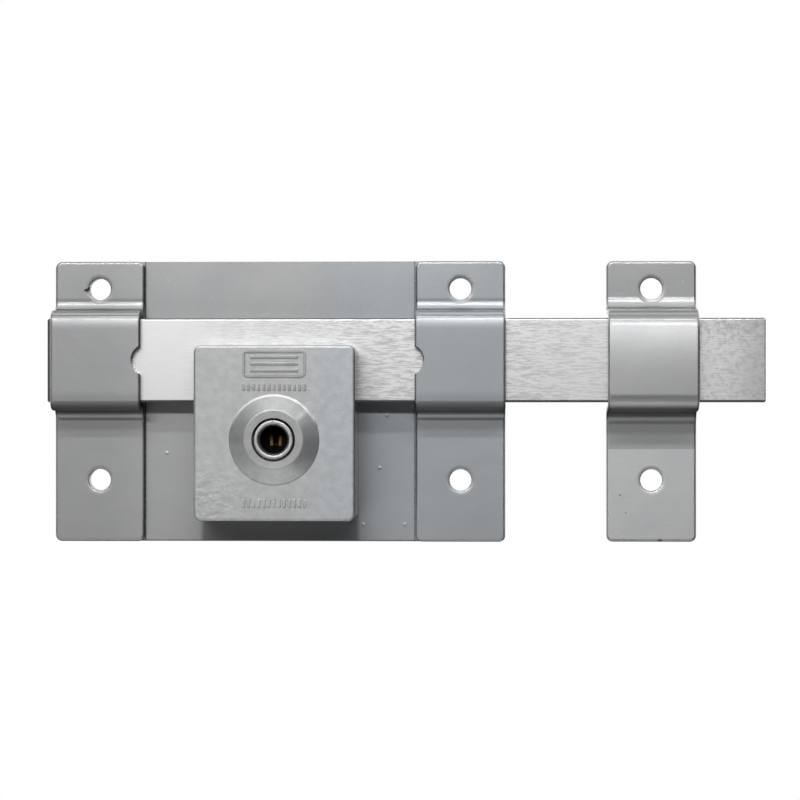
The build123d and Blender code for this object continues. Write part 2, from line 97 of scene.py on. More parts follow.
class RimLockSizes(PropertyGroup):
    """Sizes that shape the new pieces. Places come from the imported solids."""

    sheet: length("Sheet", 2.0, "Thickness of the folded sheet steel")
    sheet_edge: length("Sheet edge", 0.85, "Rounding of the painted edges of the sheet")
    sheet_corner: length("Sheet corner", 2.0, "Rounding of the corners of each strap's blank")
    guide_bend: length("Guide bend", 3.2, "Outer radius of the guides' front folds")
    guide_foot: length("Guide foot bend", 3.0, "Front radius of the folds at the guides' feet")
    guide_room: length("Guide room", 0.55, "Room above and below the bar in a guide")
    keeper_bend: length("Keeper bend", 5.5, "Outer radius of the keeper's front folds")
    keeper_foot: length("Keeper foot bend", 4.0, "Front radius of the folds at the keeper's feet")
    keeper_room: length("Keeper room", 0.9, "Room above and below the bar in the keeper")
    screw_hole: length("Screw hole", 6.6, "Diameter of the screw holes")
    hole_inset: length("Hole inset", 8.5, "From the sheet's top edge to the middle of the upper hole")
    hole_pitch: length("Hole pitch", 58.3, "Between the two holes of a strap")
    hole_lip: length("Hole lip", 0.45, "Rounding of a hole's rim under the paint")
    hole_dish: length("Hole dish", 0.9, "Width of the dished ring that the press left round a hole")
    hole_dish_depth: length("Hole dish depth", 0.06, "Depth of the dished ring round a hole")
    nick: length("Nick", 1.3, "Radius of the three-cornered nick at one hole's rim")
    notch: length("Notch", 4.7, "Radius of the half-round notch in a guide")
    notch_depth: length("Notch depth", 2.6, "How far the notch bites into the guide's edge")
    notch_lip: length("Notch lip", 0.2, "Rounding of a notch's rim under the paint")
    housing_face: length("Housing face", 24.0, "From the door to the front of the casting")
    housing_corner: length("Housing corner", 2.2, "Rounding of the casting's upright corners")
    housing_edge: length("Housing edge", 0.9, "Rounding round the casting's front face")
    housing_wall: length("Housing wall", 3.0, "Wall of the casting")
    boss_base: length("Boss base", 27.0, "Diameter of the boss where it meets the face")
    boss_rim: length("Boss rim", 17.6, "Diameter of the boss's flat rim")
    boss_bore: length("Boss bore", 13.0, "Diameter of the hole round the sleeve")
    boss_step: length("Boss step", 0.3, "Small upright step at the foot of the cone")
    boss_edge: length("Boss edge", 1.1, "Rounding of the boss's rim")
    boss_foot: length("Boss foot", 0.5, "Rounding over the small step at the foot of the cone")
    relief: length("Relief", 0.4, "How far the plain ribs stand out of the casting's face")
    panel_width: length("Panel width", 19.0, "Width of the plain ribbed panel above the boss")
    panel_height: length("Panel height", 8.2, "Height of the plain ribbed panel")
    panel_line: length("Panel line", 0.8, "Width of the panel's raised border")
    panel_rise: length("Panel rise", 22.6, "From the keyhole up to the panel's middle")
    panel_edge: length("Panel edge", 0.1, "Rounding of the panel's border")
    panel_pitch: length("Panel rib pitch", 2.0, "Between the ribs in the panel")
    relief_rib: length("Relief rib", 0.8, "Width of the raised ribs")
    relief_edge: length("Relief edge", 0.12, "Rounding of the raised ribs")
    short_pitch: length("Short rib pitch", 1.52, "Between the short ribs in a row")
    upper_ribs: length("Upper ribs", 15.6, "From the keyhole up to the short ribs over the boss")
    upper_rise: length("Upper rib height", 1.9, "Height of the short ribs over the boss")
    lower_ribs: length("Lower ribs", -18.9, "From the keyhole down to the short ribs under the boss")
    lower_rise: length("Lower rib height", 2.4, "Height of the short ribs under the boss")
    channel_room: length("Channel room", 0.6, "Room under the bar in the casting")
    channel_front: length("Channel front room", 0.5, "Room in front of the bar in the casting")
    post: length("Screw post", 7.4, "Diameter of the posts that take the rear screws")
    post_drill: length("Post drilling", 4.1, "Diameter of the holes in the posts")
    post_depth: length("Post drilling depth", 10.0, "Depth of the holes in the posts")
    rib: length("Dog rib", 2.4, "Width of the ribs that guide the dog")
    rib_room: length("Rib room", 0.25, "Room between the dog and a rib")
    rib_drop: length("Rib drop", 1.8, "From the cam down to the tops of the ribs")
    tongue: length("Tongue slot", 8.5, "Width of the slot for the dog's tongue")
    tongue_room: length("Tongue room", 0.4, "Room in front of the dog's tongue")
    barrel_wall: length("Barrel wall", 2.0, "Wall of the barrel that holds the cylinder")
    barrel_room: length("Barrel room", 0.15, "Room round the cylinder in its barrel")
    lobe: length("Pin lobe", 6.0, "Width of the cylinder's pin lobe")
    ear: length("Screw ear", 6.4, "Diameter of the bosses beside the barrel")
    ear_sheet: length("Ear thickness", 2.0, "Thickness of the cylinder's ears")
    ear_drill: length("Ear drilling", 2.6, "Diameter of the holes in the ear bosses")
    ear_depth: length("Ear drilling depth", 5.4, "Depth of the holes in the ear bosses")
    sleeve_mouth: length("Sleeve mouth", 9.4, "Diameter of the sleeve's open end")
    sleeve_outer: length("Sleeve outside", 11.6, "Diameter of the sleeve's nose")
    sleeve_edge: length("Sleeve edge", 0.25, "Rounding of the sleeve's edges")
    seam: length("Sleeve seam", 0.5, "Width and depth of the seam mark in the sleeve's rim")
    sleeve_bore: length("Sleeve bore", 8.0, "Diameter of the way to the plug")
    sleeve_taper: length("Sleeve taper", 2.4, "Depth of the taper behind the mouth")
    sleeve_flange: length("Sleeve flange depth", 1.6, "Thickness of the flange that holds the sleeve")


class RimLockFinishes(PropertyGroup):
    """Colours of the finishes."""

    enamel: tone("Enamel", (0.455, 0.458, 0.462), "Silver-grey enamel of the plate and straps")
    enamel_low: tone("Enamel shade", (0.425, 0.43, 0.436), "Darker drift in the enamel")
    casting: tone("Casting paint", (0.60, 0.605, 0.61), "Paint on the cast housing")
    casting_low: tone("Casting paint shade", (0.54, 0.545, 0.55), "Paint in the casting's hollows")
    steel: tone("Bar steel", (0.97, 0.97, 0.965), "Bright strokes of the ground bar")
    # Bright steel for painted light: along the bar and a highlight on the boss's step
    steel_painted_light: tone("Bar steel bright", (0.96, 0.96, 0.955), "Smooth bright end of the bar")
    steel_low: tone("Bar steel shade", (0.55, 0.55, 0.556), "Dull strokes of the ground bar")
    sleeve: tone("Sleeve steel", (0.66, 0.66, 0.65), "Turned steel of the nose sleeve")
    brass: tone("Brass", (0.62, 0.40, 0.16), "Brass of the plug")
    brass_low: tone("Brass shade", (0.36, 0.21, 0.08), "Tarnish on the brass")
    # Near black for painted shade: deep in the keyhole, on the casting's right wall and boss, and at the
    # enamel's left end
    oil: tone("Old oil", (0.012, 0.011, 0.010), "Oil and dirt deep in the keyhole")
    zinc: tone("Zinc", (0.58, 0.59, 0.60), "Zinc plate on the cam and the dog")
    screw: tone("Screw steel", (0.17, 0.17, 0.18), "Dark steel of the screws")


class RimLockStage(PropertyGroup):
    """Camera, lights and floor."""

    lens: FloatProperty(
        name="Lens", description="Focal length on a 36 mm sensor", default=112.05,
        subtype="DISTANCE_CAMERA", unit="CAMERA",
    )
    eye: FloatVectorProperty(
        name="Camera place", description="Where the camera stands", default=(0.0641, -0.7627, -0.0055),
        subtype="XYZ", unit="LENGTH",
    )
    aim: FloatVectorProperty(
        name="Camera turn", description="Pitch, roll and yaw of the camera",
        default=(QUARTER_TURN + 0.001, 0.0, 0.036), subtype="EULER", unit="ROTATION",
    )
    floor_drop: length("Floor drop", 1500.0, "How far the floor's underside lies below the lock")
    floor_side: length("Floor side", 30.0, "How far the floor's middle lies to the right")
    floor_radius: length("Floor radius", 800.0, "Radius of the round floor")
    floor_sheet: length("Floor thickness", 12.0, "Thickness of the floor")
    floor_roll: length("Floor roll", 8.0, "Rounding of the floor's edge")
    light_distance: length("Light distance", 1200.0, "From the lock's middle to each soft panel")
    light_level: amount("Light level", 1.11, "Strength of all the panels together")
    room_glow: amount("Room light", 0.02, "Even light from all round")


# Soft panels: name, azimuth to the right, elevation, width and height in degrees, glow
PANELS = (
    ("upper_tube_ends", 2, 45, 74, 3, 9.0),
    ("upper_tube", 0, 45, 50, 3, 13.0),
    ("upper_tube_middle", 0, 45, 25, 3, 17.0),
    ("lower_tube_ends", -12, 20.4, 66, 3, 8.2),
    ("lower_tube", -8, 20.4, 36, 3, 9.4),
    ("lower_tube_middle", -8, 20.4, 12, 3, 11.0),
    ("low_left", -52, -30, 46, 50, 0.55),
    ("low_fill", 0, -36, 70, 20, 0.3),
    ("low_front", 15, -60, 60, 18, 1.3),
    ("overhead", 0, 84, 80, 26, 1.2),
    ("back", 180, 25, 110, 70, 0.9),
    ("back_left", -118, 10, 36, 70, 0.9),
    ("back_right", 118, 10, 36, 70, 0.9),
)


def sizes():
    return bpy.context.scene.rim_lock_sizes


def finishes():
    return bpy.context.scene.rim_lock_finishes


def key_axis():
    """A point on the line along Y that the key turns about."""
    low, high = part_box("nose_sleeve")
    return ((low.x + high.x) / 2, 0.0, (low.z + high.z) / 2)


def object_mode():
    """Leave edit mode and clear the selection, so that an operator acts on new work only."""
    if bpy.context.object and bpy.context.object.mode != "OBJECT":
        bpy.ops.object.mode_set(mode="OBJECT")
    bpy.ops.object.select_all(action="DESELECT")


def begin(name, scale=(1, 1, 1)):
    """Take the primitive that was just added, name it and set its place and scale into its mesh."""
    piece = bpy.context.object
    piece.name = name
    piece.scale = scale
    piece.data.name = name
    bpy.ops.object.transform_apply(location=True, rotation=True, scale=True)
    bpy.ops.object.mode_set(mode="EDIT")
    return piece


def pick(piece, kind, test):
    """Select only the vertices (VERT) or edges (EDGE) whose points all pass the test."""
    bpy.ops.mesh.select_mode(type=kind)
    bpy.ops.mesh.select_all(action="DESELECT")
    mesh = bmesh.from_edit_mesh(piece.data)
    found = 0
    for part in mesh.verts if kind == "VERT" else mesh.edges:
        points = [part.co] if kind == "VERT" else [vertex.co for vertex in part.verts]
        if all(test(point) for point in points):
            part.select_set(True)
            found += 1
    mesh.select_flush(True)
    bmesh.update_edit_mesh(piece.data)
    if not found:
        raise RuntimeError(f"nothing to shape was found on {piece.name}")


def pull(x, y, z):
    """Extrude what is selected by a distance along each axis."""
    bpy.ops.mesh.extrude_region_move(TRANSFORM_OT_translate={"value": (x, y, z)})


def near(value, target):
    return abs(value - target) < TINY


def apply_modifier(piece, kind, **settings):
    """Add a modifier, set it and apply it."""
    object_mode()
    bpy.context.view_layer.objects.active = piece
    piece.select_set(True)
    modifier = piece.modifiers.new(kind.lower(), kind)
    for key, value in settings.items():
        setattr(modifier, key, value)
    bpy.ops.object.modifier_apply(modifier=modifier.name)


def carve(piece, tools, operation="DIFFERENCE"):
    """Cut the tools out of a piece, or with UNION melt them into it, and remove them."""
    for tool in tools:
        apply_modifier(piece, "BOOLEAN", operation=operation, object=tool, solver="EXACT")
        bpy.data.objects.remove(tool)


def ease_edges(piece, width, segments, angle):
    """Round every edge that turns by more than an angle in degrees."""
    apply_modifier(
        piece, "BEVEL", width=width, segments=segments,
        limit_method="ANGLE", angle_limit=math.radians(angle),
    )


def box_solid(name, low, high):
    """A block between two corners, left in edit mode."""
    object_mode()
    low, high = Vector(low), Vector(high)
    bpy.ops.mesh.primitive_cube_add(size=1, location=(low + high) / 2)
    return begin(name, high - low)


def round_edges(piece, test, radius, segments):
    """Round the edges whose ends both pass the test."""
    pick(piece, "EDGE", test)
    bpy.ops.mesh.bevel(offset=radius, segments=segments, affect="EDGES")


def round_uprights(piece, low, high, radius, segments):
    """Round the four edges of a block that run along Y."""
    for x in (low.x, high.x):
        for z in (low.z, high.z):
            round_edges(piece, lambda p: near(p.x, x) and near(p.z, z), radius, segments)


def drawn_rings(name, x, z, profile, fill, sides):
    """A circle round a line along Y, drawn on through (radius, y) rings and left in edit mode."""
    object_mode()
    radius, y = profile[0]
    bpy.ops.mesh.primitive_circle_add(
        vertices=sides, radius=radius, fill_type=fill, location=(x, y, z), rotation=(QUARTER_TURN, 0, 0)
    )
    piece = begin(name)
    bpy.ops.mesh.select_all(action="SELECT")
    for next_radius, next_y in profile[1:]:
        pull(0, next_y - y, 0)
        share = next_radius / radius
        bpy.ops.transform.resize(value=(share, 1, share), center_override=(x, next_y, z))
        radius, y = next_radius, next_y
    bpy.ops.mesh.select_all(action="SELECT")
    return piece


def turned_solid(name, x, z, profile, sides=RING):
    """A solid turned about a line along Y, from (radius, y) rings with flat ends."""
    piece = drawn_rings(name, x, z, profile, "NGON", sides)
    bpy.ops.mesh.normals_make_consistent(inside=False)
    return piece


def turned_tube(name, x, z, profile):
    """A tube turned about a line along Y, from the (radius, y) corners of its section."""
    piece = drawn_rings(name, x, z, profile + profile[:1], "NOTHING", RING)
    bpy.ops.mesh.remove_doubles(threshold=TINY / 10)
    bpy.ops.mesh.normals_make_consistent(inside=False)
    return piece


def block(name, low, high):
    """A block between two corners, ready to cut or to join."""
    piece = box_solid(name, low, high)
    object_mode()
    return piece


def round_rod(name, x, z, diameter, front, back):
    """A rod along Y, ready to cut or to join."""
    piece = turned_solid(name, x, z, [(diameter / 2, front), (diameter / 2, back)], 64)
    object_mode()
    return piece


def rib_row(name, low, high, step, count):
    """A row of equal raised ribs, modelled once and then repeated at a step."""
    piece = box_solid(name, low, high)
    bpy.ops.mesh.select_all(action="SELECT")
    bpy.ops.mesh.bevel(offset=sizes().relief_edge, segments=2, affect="EDGES")
    bpy.ops.mesh.select_all(action="SELECT")
    for _ in range(count - 1):
        bpy.ops.mesh.duplicate_move(TRANSFORM_OT_translate={"value": step})
    object_mode()
    return piece


def polish(piece, angle=35.0):
    """Weld the mesh, shade its round parts smooth and keep its flats flat."""
    object_mode()
    bpy.context.view_layer.objects.active = piece
    piece.select_set(True)
    bpy.ops.object.mode_set(mode="EDIT")
    bpy.ops.mesh.select_all(action="SELECT")
    bpy.ops.mesh.remove_doubles(threshold=TINY / 10)
    bpy.ops.mesh.dissolve_degenerate(threshold=TINY / 10)
    bpy.ops.mesh.normals_make_consistent(inside=False)
    bpy.ops.object.mode_set(mode="OBJECT")
    bpy.ops.object.shade_smooth_by_angle(angle=math.radians(angle))
    apply_modifier(piece, "WEIGHTED_NORMAL", mode="FACE_AREA", keep_sharp=True)
    object_mode()


def rounded(radius, lip, y_face, inward, steps=4):
    """Rings of a rounded lip, from the face at y_face down to the bore's wall."""
    rings = []
    for step in range(steps + 1):
        turn = QUARTER_TURN * (1 - step / steps)
        sink = lip - lip * math.sin(turn)
        rings.append((radius + lip - lip * math.cos(turn), y_face + inward * sink))
    return rings


def punch(name, x, z, radius, lip, front, back, sides=64, dish=0.0, dish_depth=0.0):
    """A cutter for a hole through a sheet, with rims rounded like painted edges and a dished front."""
    edge = radius + lip
    profile = [(edge + dish, front - lip), (edge + dish, front)] if dish else [(edge, front - lip)]
    profile += rounded(radius, lip, front + dish_depth, 1)
    profile += list(reversed(rounded(radius, lip, back, -1)))
    profile += [(edge, back + lip)]
    piece = turned_solid(name, x, z, profile, sides)
    object_mode()
    return piece


def folded_strap(name, node, room, crown_bend, foot_bend, notch_side, nick=False):
    """Fold a strip into a hat over the bar, thicken it, round its edges and punch it."""
    size = sizes()
    low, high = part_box(node)
    bar_low, bar_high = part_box("slide_bar")
    half = size.sheet / 2
    foot, crown = high.y - half, low.y + half
    fold_top, fold_bottom = bar_high.z + room + half, bar_low.z - room - half
    middle_x = (low.x + high.x) / 2
    bar_z = (bar_low.z + bar_high.z) / 2

    # The upper foot is the start, and the strip is drawn on from its lower edge
    object_mode()
    bpy.ops.mesh.primitive_plane_add(
        size=1,
        location=(middle_x, foot, (high.z + fold_top) / 2),
        rotation=(QUARTER_TURN, 0, 0),
    )
    strap = begin(name, (high.x - low.x, high.z - fold_top, 1))
    pick(strap, "EDGE", lambda p: near(p.z, fold_top))
    pull(0, crown - foot, 0)
    pull(0, 0, fold_bottom - fold_top)
    pull(0, foot - crown, 0)
    pull(0, 0, low.z - fold_bottom)
    for fold in (fold_top, fold_bottom):
        for y, bend in ((crown, crown_bend - half), (foot, foot_bend + half)):
            round_edges(strap, lambda p: near(p.z, fold) and near(p.y, y), bend, 10)
    pick(strap, "VERT", lambda p: near(p.z, high.z) or near(p.z, low.z))
    bpy.ops.mesh.bevel(offset=size.sheet_corner, segments=6, affect="VERTICES")

    apply_modifier(strap, "SOLIDIFY", thickness=size.sheet, offset=0, use_even_offset=True)
    ease_edges(strap, size.sheet_edge, 4, 50)
    upper_hole = high.z - size.hole_inset
    cutters = [
        punch(
            "hole", middle_x, z, size.screw_hole / 2, size.hole_lip, foot - half, foot + half, 64,
            size.hole_dish, size.hole_dish_depth,
        )
        for z in (upper_hole, upper_hole - size.hole_pitch)
    ]
    if nick:
        middle = (middle_x - size.screw_hole / 2 - size.nick / 3, foot, upper_hole - size.nick / 5)
        profile = [(size.nick, foot - size.sheet), (size.nick, foot + size.sheet)]
        cutters.append(turned_solid("nick", middle[0], middle[2], profile, 3))
        bpy.ops.transform.rotate(value=QUARTER_TURN, orient_axis="Y", center_override=middle)
        object_mode()
    if notch_side:
        edge = high.x if notch_side > 0 else low.x
        notch_x = edge + notch_side * (size.notch - size.notch_depth)
        through = (crown - half, crown + half)
        cutters.append(punch("notch", notch_x, bar_z, size.notch, size.notch_lip, *through, RING))
    carve(strap, cutters)
    polish(strap)
    return strap


def settle(piece, body, node, material):
    """Paint a finished piece, let it stand for its solid and ride on the solid's body."""
    piece.data.materials.clear()
    piece.data.materials.append(material)
    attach(piece, body)
    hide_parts(node)


def paint_nodes(nodes, material):
    """Give solids that keep their own shape a finish."""
    for node in nodes:
        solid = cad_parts[node]
        if not solid.material_slots:
            solid.data.materials.append(material)
        for slot in solid.material_slots:
            slot.material = material


class Wire:
    """An output of a shader node. Arithmetic on it adds Math nodes to the same finish."""

    def __init__(self, finish, socket):
        self.finish = finish
        self.socket = socket

    def math(self, operation, *values):
        return self.finish.node("ShaderNodeMath", {"operation": operation}, dict(enumerate(values)))

    def __add__(self, other):
        return self.math("ADD", self, other)

    def __radd__(self, other):
        return self.math("ADD", other, self)

    def __sub__(self, other):
        return self.math("SUBTRACT", self, other)

    def __rsub__(self, other):
        return self.math("SUBTRACT", other, self)

    def __mul__(self, other):
        return self.math("MULTIPLY", self, other)

    def __rmul__(self, other):
        return self.math("MULTIPLY", other, self)

    def __abs__(self):
        return self.math("ABSOLUTE", self)


class Finish:
    """A material in the making, on the piece's own Object coordinates."""

    def __init__(self, name, **constants):
        self.material = bpy.data.materials.new(name)
        self.material.use_nodes = True
        self.tree = self.material.node_tree
        self.shader = self.tree.nodes["Principled BSDF"]
        self.place = self.node("ShaderNodeTexCoord", output="Object")
        for socket, value in constants.items():
            self.shader.inputs[socket.replace("_", " ")].default_value = value

    def node(self, kind, settings=None, values=None, output=0):
        """Add a node, set it, fill or link its sockets and return one of its outputs."""
        made = self.tree.nodes.new(kind)
        for key, value in (settings or {}).items():
            setattr(made, key, value)
        for key, value in (values or {}).items():
            if isinstance(value, Wire):
                self.tree.links.new(value.socket, made.inputs[key])
            else:
                made.inputs[key].default_value = value
        return Wire(self, made.outputs[output])

    def feed(self, socket, wire):
        """Link a value that changes over the surface to the shader."""
        self.tree.links.new(wire.socket, self.shader.inputs[socket])

    def mapped(self, scale=(1, 1, 1), shift=(0, 0, 0)):
        """Object coordinates that are stretched or moved."""
        values = {"Vector": self.place, "Scale": scale, "Location": shift}
        return self.node("ShaderNodeMapping", {}, values)

    def grain(self, size, detail=2.0, rough=0.5):
        """Soft noise from 0 to 1 with features of about this size in millimetres."""
        values = {"Vector": self.place, "Scale": 1 / (size * MM), "Detail": detail, "Roughness": rough}
        return self.node("ShaderNodeTexNoise", {"noise_dimensions": "3D"}, values)

    def strokes(self, long, fine):
        """Noise drawn out along X into strokes, long and fine in millimetres."""
        place = self.mapped((1 / (long * MM), 1 / (fine * MM), 1 / (fine * MM)))
        return self.node("ShaderNodeTexNoise", {}, {"Vector": place, "Scale": 1.0, "Detail": 2.0})

    def span(self, wire, low, high, to_low=0.0, to_high=1.0):
        """A value's range drawn out smoothly to another range."""
        values = {"Value": wire, "From Min": low, "From Max": high, "To Min": to_low, "To Max": to_high}
        return self.node("ShaderNodeMapRange", {"interpolation_type": "SMOOTHSTEP"}, values)

    def blend(self, factor, first, second, how="MIX"):
        """Mix two colours, each three numbers or a wire."""
        first, second = [c if isinstance(c, Wire) else (*c, 1.0) for c in (first, second)]
        settings = {"data_type": "RGBA", "clamp_factor": True, "blend_type": how}
        return self.node("ShaderNodeMix", settings, {0: factor, 6: first, 7: second}, 2)

    def bump(self, height, depth, under=None):
        """A bumped normal from a height, with its depth in millimetres, over another normal."""
        values = {"Height": height, "Distance": depth * MM, "Strength": 1.0}
        if under:
            values["Normal"] = under
        return self.node("ShaderNodeBump", {}, values)

    def axis_parts(self):
        """The three Object coordinates as separate wires."""
        parts = self.node("ShaderNodeSeparateXYZ", {}, {0: self.place}).socket.node
        return [Wire(self, output) for output in parts.outputs]

    def held(self, wire, low, high):
        """A value that stops at two limits."""
        return self.node("ShaderNodeClamp", {}, {"Value": wire, "Min": low, "Max": high})

    def radius(self, axis_point):
        """Distance from an axis along Y, in metres."""
        centred = self.mapped(shift=[-value for value in axis_point])
        flat = self.node("ShaderNodeVectorMath", {"operation": "MULTIPLY"}, {0: centred, 1: (1, 0, 1)})
        return self.node("ShaderNodeVectorMath", {"operation": "LENGTH"}, {0: flat}, "Value")

    def reach(self, point):
        """Distance from a point, in metres."""
        values = {0: self.place, 1: point}
        return self.node("ShaderNodeVectorMath", {"operation": "DISTANCE"}, values, "Value")


# Tint of the painted cool light over the right half, as shares of red, green and blue
COOL_LIGHT_TINT = (0.957, 1.0, 1.03)


def toned(colour, share):
    """A colour made darker or paler by one share."""
    return [value * share for value in colour]


def cool_lit_side(paint):
    """Where a painted cool light tints the paint: over the lock's right half, not on its left or on the
    keeper.
    """
    x = paint.axis_parts()[0]
    wall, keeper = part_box("lock_housing")[1].x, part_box("keeper_strap")[0].x
    return paint.span(x, wall - 20 * MM, wall) * paint.span(x, keeper, keeper - 20 * MM)


def enamel(name, folds=(), seams=(), grains=(), chips=(), notches=(), bow=None):
    """Silver-grey enamel with a mottled flake, a light orange peel, and painted shade in folds and
    seams.

    A fold or a seam is a band: its middle, half width and depth, and its two ends if it stops short.
    """
    paint = Finish(name, Metallic=1.0, Coat_Weight=1.0, Coat_Roughness=0.15, Coat_IOR=1.5)
    drift, flake = paint.grain(22.0), paint.grain(0.55)
    colour = enamel_colour(paint, drift, flake)
    shine = paint.span(drift, 0.2, 0.8, 1.0, 0.9)
    dark = toned(finishes().enamel_low, 0.1)
    # Painted shade in folds, along seams and in notches darkens the colour and dulls the coat
    for shade_amount in painted_shade_masks(paint, flake, folds, seams, notches):
        colour = paint.blend(shade_amount, colour, dark)
        shine = shine * (1.0 - shade_amount)
    for point, radius in chips:
        away = paint.reach(point) + flake * (0.3 * MM)
        colour = paint.blend(paint.span(away, radius * 0.8, radius * 1.2, 0.85, 0.0), colour, dark)
    paint.feed("Base Color", colour)
    paint.feed("Coat Weight", shine)
    paint.feed("Roughness", paint.span(drift * 0.6 + flake * 0.4, 0.3, 0.7, 0.46, 0.52))
    paint.feed("Normal", enamel_skin(paint, grains, bow))
    return paint.material


def enamel_colour(paint, drift, flake):
    """Enamel that drifts between two greys, with flake and specks of dust in it."""
    look = finishes()
    x, _, z = paint.axis_parts()
    left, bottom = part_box("back_plate")[0].x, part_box("back_plate")[0].z
    colour = paint.blend(paint.span(drift, 0.35, 0.7), look.enamel, look.enamel_low)
    colour = paint.blend(paint.span(flake, 0.3, 0.75, 0.0, 0.25), colour, toned(look.enamel_low, 0.86))
    # Painted light: the lower half is a little paler than the upper half
    lower_light = paint.span(z, bottom + 68 * MM, bottom + 8 * MM, 0.0, 0.28)
    colour = paint.blend(lower_light, colour, toned(look.enamel, 1.4))
    dust = paint.span(paint.grain(1.3, 0.0), 0.86, 0.88, 0.0, 0.25)
    colour = paint.blend(dust, colour, toned(look.enamel, 1.5))
    # A painted cool light tints the right half
    colour = paint.blend(cool_lit_side(paint), colour, COOL_LIGHT_TINT, "MULTIPLY")
    # Painted shade: the left end is darker
    return paint.blend(paint.span(x, left + 33 * MM, left + 13 * MM, 0.0, 0.1), colour, look.oil)


def painted_shade_masks(paint, flake, folds, seams, notches):
    """How deep the painted shade lies in each fold, along each seam and in the upper half of each notch.
    """
    x, y, z = paint.axis_parts()
    # No painted shade lies on the side that faces the door
    outside = paint.span(y, -1.4 * MM, -0.8 * MM, 1.0, 0.0)
    masks = []
    for along, across, lines in ((z, x, folds), (x, z, seams)):
        for middle, half, depth, *ends in lines:
            away = abs(along - middle) + flake * (0.3 * MM)
            mask = paint.span(away, half * 0.5, half * 1.2, depth, 0.0) * outside
            if ends:
                start, stop = ends
                mask = mask * paint.span(across, start - MM, start + MM)
                mask = mask * paint.span(across, stop + MM, stop - MM)
            masks.append(mask)
    rim = sizes().notch
    for centre in notches:
        mask = paint.span(paint.radius(centre), rim + 0.15 * MM, rim + 0.45 * MM, 0.95, 0.0)
        masks.append(mask * paint.span(z, centre[2] - 1.5 * MM, centre[2] + MM))
    return masks


def enamel_skin(paint, grains, bow):
    """Orange peel over the sheet, with a few grains of grit under the paint."""
    skin = paint.bump(paint.grain(9.0, 1.0), 0.05)
    if bow:
        # Hand-bent sheet: the crown rounds over towards its top and the lower foot isn't quite true
        z = paint.axis_parts()[2]
        bar_low, bar_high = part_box("slide_bar")
        rise = paint.held(z, bow["start"], bar_high.z + MM) - bow["start"]
        rise = rise * rise
        low, high = bar_low.z - 1.55 * MM, bar_high.z + 7.05 * MM
        lean = paint.span(z, low, high, 0.0, (high - low) * bow["lean"])
        foot = paint.held(z, bar_low.z - 55 * MM, bar_low.z - 14.25 * MM) * bow["tilt"]
        skin = paint.bump(rise * rise * -bow["steep"] - lean - foot, 1 / MM, skin)
    for point, radius in grains:
        skin = paint.bump(paint.span(paint.reach(point), 0.0, radius, 1.0, 0.0), 0.08, skin)
    return paint.bump(paint.grain(1.1), 0.012, skin)


def lower_edge():
    """The painted shade along the lower edge of the plate and the straps."""
    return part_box("back_plate")[0].z + 0.15 * MM, 0.5 * MM, 0.55


def fold_shade(room, drop, upper=0.0):
    """Where painted shade lies in a strap's folds: middle height, half width and depth of each band."""
    bar_low, bar_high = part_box("slide_bar")
    under = bar_low.z - room - sizes().sheet - drop
    over = bar_high.z + room + sizes().sheet
    return (
        (over + 3.2 * MM, 0.9 * MM, upper),
        (over + 0.15 * MM, 0.65 * MM, 0.6),
        (under + 2.0 * MM, 4.5 * MM, 0.2),
        (under + 1.1 * MM, 2.2 * MM, 0.8),
        (under - 3.0 * MM, 3.0 * MM, 0.25),
        lower_edge(),
    )


def cast_paint():
    """Paint over a sand casting: the same grey with pits, lumps and a fine tooth."""
    look = finishes()
    low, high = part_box("lock_housing")
    face, axis_z = -sizes().housing_face, key_axis()[2]
    paint = Finish("casting_enamel", Metallic=1.0, Coat_Weight=1.0, Coat_Roughness=0.14, Coat_IOR=1.5)
    lumps, tooth, pits = paint.grain(2.6), paint.grain(0.5, 3.0), paint.grain(1.2, 1.0)
    x, y, z = paint.axis_parts()
    colour = paint.blend(paint.span(lumps, 0.3, 0.7), look.casting_low, look.casting)
    colour = paint.blend(paint.span(tooth, 0.35, 0.75, 0.0, 0.22), colour, toned(look.casting_low, 0.8))
    # A painted cool light tints the right half
    colour = paint.blend(cool_lit_side(paint), colour, COOL_LIGHT_TINT, "MULTIPLY")
    # Painted shade darkens the right wall
    wall_shade = paint.span(x, high.x - 0.4 * MM, high.x - 0.1 * MM, 0.0, 0.75)
    colour = paint.blend(wall_shade, colour, look.oil)
    # Painted shade darkens the boss and the raised work in front of the face, less so underneath
    painted_lighting = paint.span(y, face - 0.1 * MM, face - 0.4 * MM)
    painted_lighting = painted_lighting * paint.span(z, axis_z - 10 * MM, axis_z - 4 * MM, 0.0, 0.2)
    colour = paint.blend(painted_lighting, colour, look.oil)
    # A painted highlight runs along the top of the step round the cone's foot
    aside = abs(paint.radius(key_axis()) - (sizes().boss_base / 2 - 0.25 * MM))
    bright = paint.span(aside, 0.2 * MM, 0.45 * MM, 0.8, 0.0)
    bright = bright * paint.span(z, axis_z + 3 * MM, axis_z + 8 * MM)
    paint.feed("Base Color", paint.blend(bright, colour, look.steel_painted_light))
    paint.feed("Roughness", paint.span(tooth, 0.3, 0.7, 0.57, 0.63))
    # The sand left one lower corner lumpy
    corner = paint.span(paint.reach((low.x + 2 * MM, face, low.z + 2 * MM)), 4 * MM, 22 * MM, 1.0, 0.0)
    normal = paint.bump(paint.grain(1.8, 1.0) * corner, 0.22, paint.bump(lumps, 0.06))
    normal = paint.bump(paint.span(pits, 0.62, 0.8, 1.0, 0.0), 0.02, normal)
    paint.feed("Normal", paint.bump(tooth, 0.008, normal))
    return paint.material


